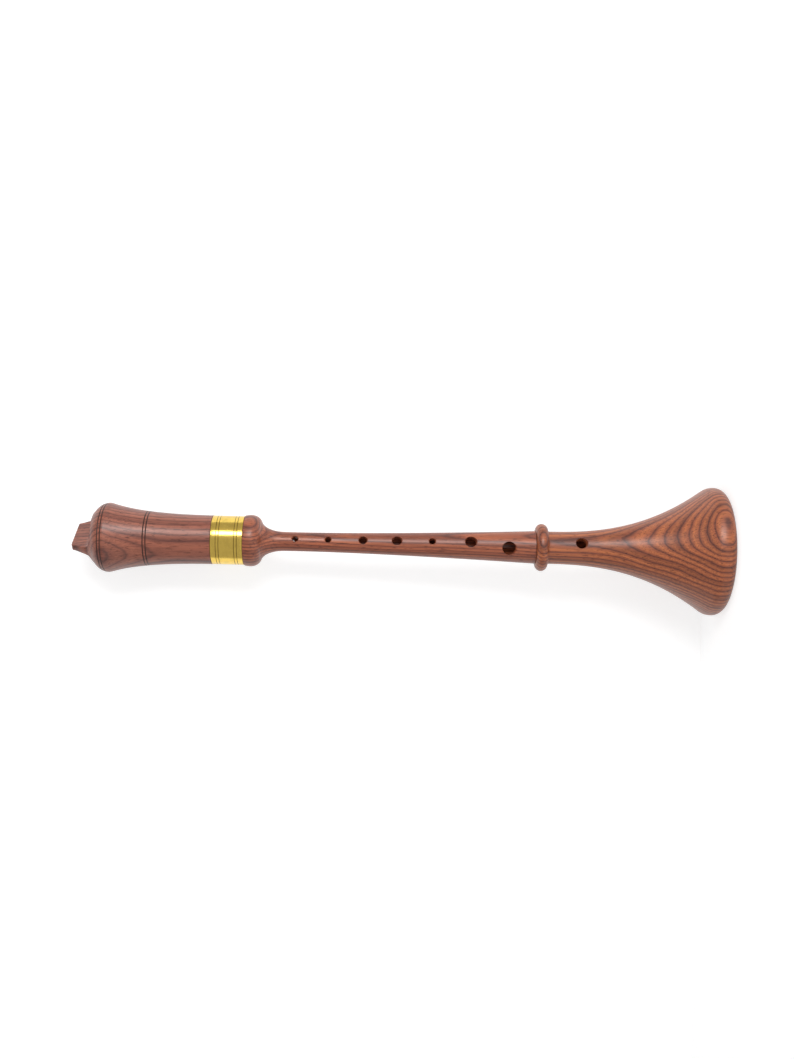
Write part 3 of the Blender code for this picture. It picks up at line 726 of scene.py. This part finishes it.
def stage_finish(name, one_sided):
    """White surface that keeps soft shadows; a one-sided one isn't there from behind."""
    finish = bpy.data.materials.new(name)
    finish.use_nodes = True
    tree = finish.node_tree
    tree.nodes.remove(tree.nodes["Principled BSDF"])
    plain = tree.nodes.new("ShaderNodeBsdfDiffuse")
    plain.inputs["Color"].default_value = STAGE_PALE
    shown = tree.nodes.new("ShaderNodeBsdfDiffuse")
    shown.inputs["Color"].default_value = STAGE_SHOWN
    glow = tree.nodes.new("ShaderNodeEmission")
    glow.inputs["Strength"].default_value = STAGE_GLOW
    both = tree.nodes.new("ShaderNodeAddShader")
    tree.links.new(shown.outputs[0], both.inputs[0])
    tree.links.new(glow.outputs[0], both.inputs[1])
    path = tree.nodes.new("ShaderNodeLightPath")
    seen = math_node(tree, "MAXIMUM", path.outputs["Is Camera Ray"], path.outputs["Is Glossy Ray"])
    choice = tree.nodes.new("ShaderNodeMixShader")
    tree.links.new(seen, choice.inputs[0])
    tree.links.new(plain.outputs[0], choice.inputs[1])
    tree.links.new(both.outputs[0], choice.inputs[2])
    result = choice.outputs[0]
    if one_sided:
        clear = tree.nodes.new("ShaderNodeBsdfTransparent")
        side = tree.nodes.new("ShaderNodeMixShader")
        tree.links.new(tree.nodes.new("ShaderNodeNewGeometry").outputs["Backfacing"], side.inputs[0])
        tree.links.new(result, side.inputs[1])
        tree.links.new(clear.outputs[0], side.inputs[2])
        result = side.outputs[0]
    tree.links.new(result, tree.nodes["Material Output"].inputs["Surface"])
    return finish


def stage_sheet(name, corners, finish):
    """One flat stage surface."""
    mesh = bpy.data.meshes.new(name)
    mesh.from_pydata([tuple(corner) for corner in corners], [], [(0, 1, 2, 3)])
    item = linked(name, mesh)
    mesh.materials.append(finish)


def make_stage():
    """Pale floor under the bell, and a pale board that the instrument leans against."""
    signs = ((-1, -1), (1, -1), (1, 1), (-1, 1))
    stage_sheet("floor", [(x * FLOOR_REACH, y * FLOOR_REACH, 0.0) for x, y in signs],
                stage_finish("floor white", False))
    slope = (LIP_RADIUS - BULB_RADIUS) / (CAP_FOOT + BULB_HEIGHT - LIP_HEIGHT)
    corners = []
    for side, height in ((-1, 0.0), (1, 0.0), (1, BOARD_HEIGHT), (-1, BOARD_HEIGHT)):
        away = LIP_RADIUS + BOARD_GAP - (height - LIP_HEIGHT) * slope
        corners.append(TOWARD_CAMERA * -away + IMAGE_UP * side * BOARD_HALF_WIDTH + Vector((0, 0, height)))
    stage_sheet("board", corners, stage_finish("board white", True))


def lamp(name, place, target, width, length, watts):
    """Soft rectangular lamp, long side up the bore."""
    light = bpy.data.lights.new(name, "AREA")
    light.shape = "RECTANGLE"
    light.size = width
    light.size_y = length
    light.energy = watts
    item = linked(name, light)
    item.location = place
    item.rotation_euler = (target - item.location).to_track_quat("-Z", "Y").to_euler()


def make_light():
    """Plain even light, one long soft lamp in front and above, and a weaker one behind."""
    world = bpy.data.worlds.new("studio")
    bpy.context.scene.world = world
    world.use_nodes = True
    tree = world.node_tree
    ground = tree.nodes["Background"]
    path = tree.nodes.new("ShaderNodeLightPath")
    beyond = math_node(tree, "MULTIPLY", path.outputs["Is Camera Ray"], WORLD_SHOWN)
    tree.links.new(math_node(tree, "ADD", WORLD_LIGHT, beyond), ground.inputs["Strength"])
    ground.inputs["Color"].default_value = (*WHITE, 1.0)
    middle = Vector((0, 0, LIT_HEIGHT))
    in_front = middle + TOWARD_CAMERA * 0.95 + IMAGE_UP * 0.62
    behind = middle + Vector((-0.3, 1.2, 0.6))
    lamp("key", in_front, middle, width=0.30, length=0.9, watts=KEY_WATTS)
    lamp("fill", behind, middle, width=0.6, length=0.9, watts=FILL_WATTS)


def make_camera():
    """The photograph's camera: rolled so that the bore runs across the picture."""
    along = Vector((0.0, 0.0, -1.0))
    right = along * math.cos(AXIS_SLOPE) + IMAGE_UP * math.sin(AXIS_SLOPE)
    up = IMAGE_UP * math.cos(AXIS_SLOPE) - along * math.sin(AXIS_SLOPE)
    camera = bpy.data.cameras.new("photo camera")
    camera.sensor_fit = "AUTO"
    camera.sensor_width = SENSOR
    camera.lens = FOCAL_PIXELS / max(FRAME_WIDTH, FRAME_HEIGHT) * SENSOR
    item = linked("photo camera", camera)
    place = (TOWARD_CAMERA * CAMERA_DISTANCE + Vector((0, 0, CAMERA_HEIGHT))
             + up * (AXIS_DROP_PIXELS / FOCAL_PIXELS * CAMERA_DISTANCE))
    turn = Matrix((right, up, TOWARD_CAMERA)).transposed()
    item.matrix_world = Matrix.Translation(place) @ turn.to_4x4()
    bpy.context.scene.camera = item


bpy.context.scene.view_settings.view_transform = "Standard"
make_camera()
make_light()
make_stage()

make_bell(wood("bell rosewood", pith=(0.0104, -0.0844), ring_width=0.0036,
               light=(0.54, 0.165, 0.056), middle=(0.36, 0.100, 0.043), dark=(0.100, 0.028, 0.020),
               wander=0.016, streaks=0.022, contrast=0.90))
make_body(wood("body rosewood", pith=(0.030, -0.050), ring_width=0.0026,
               light=(0.48, 0.142, 0.062), middle=(0.33, 0.092, 0.045), dark=(0.100, 0.028, 0.020),
               wander=0.010, streaks=0.025, contrast=0.80))
make_windcap(wood("windcap rosewood", pith=(-0.055, -0.045), ring_width=0.0036,
                  light=(0.42, 0.140, 0.080), middle=(0.31, 0.100, 0.062), dark=(0.095, 0.031, 0.024),
                  wander=0.014, streaks=0.050, contrast=0.70))
make_ferrule(brass("ferrule brass", (0.86, 0.60, 0.13)))
make_windings()
wear_only(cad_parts["reed_staple"].data, brass("staple brass", (0.80, 0.58, 0.22)))
wear_only(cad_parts["reed_blade_front"].data, cane("front cane"))
wear_only(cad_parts["reed_blade_back"].data, cane("back cane"))
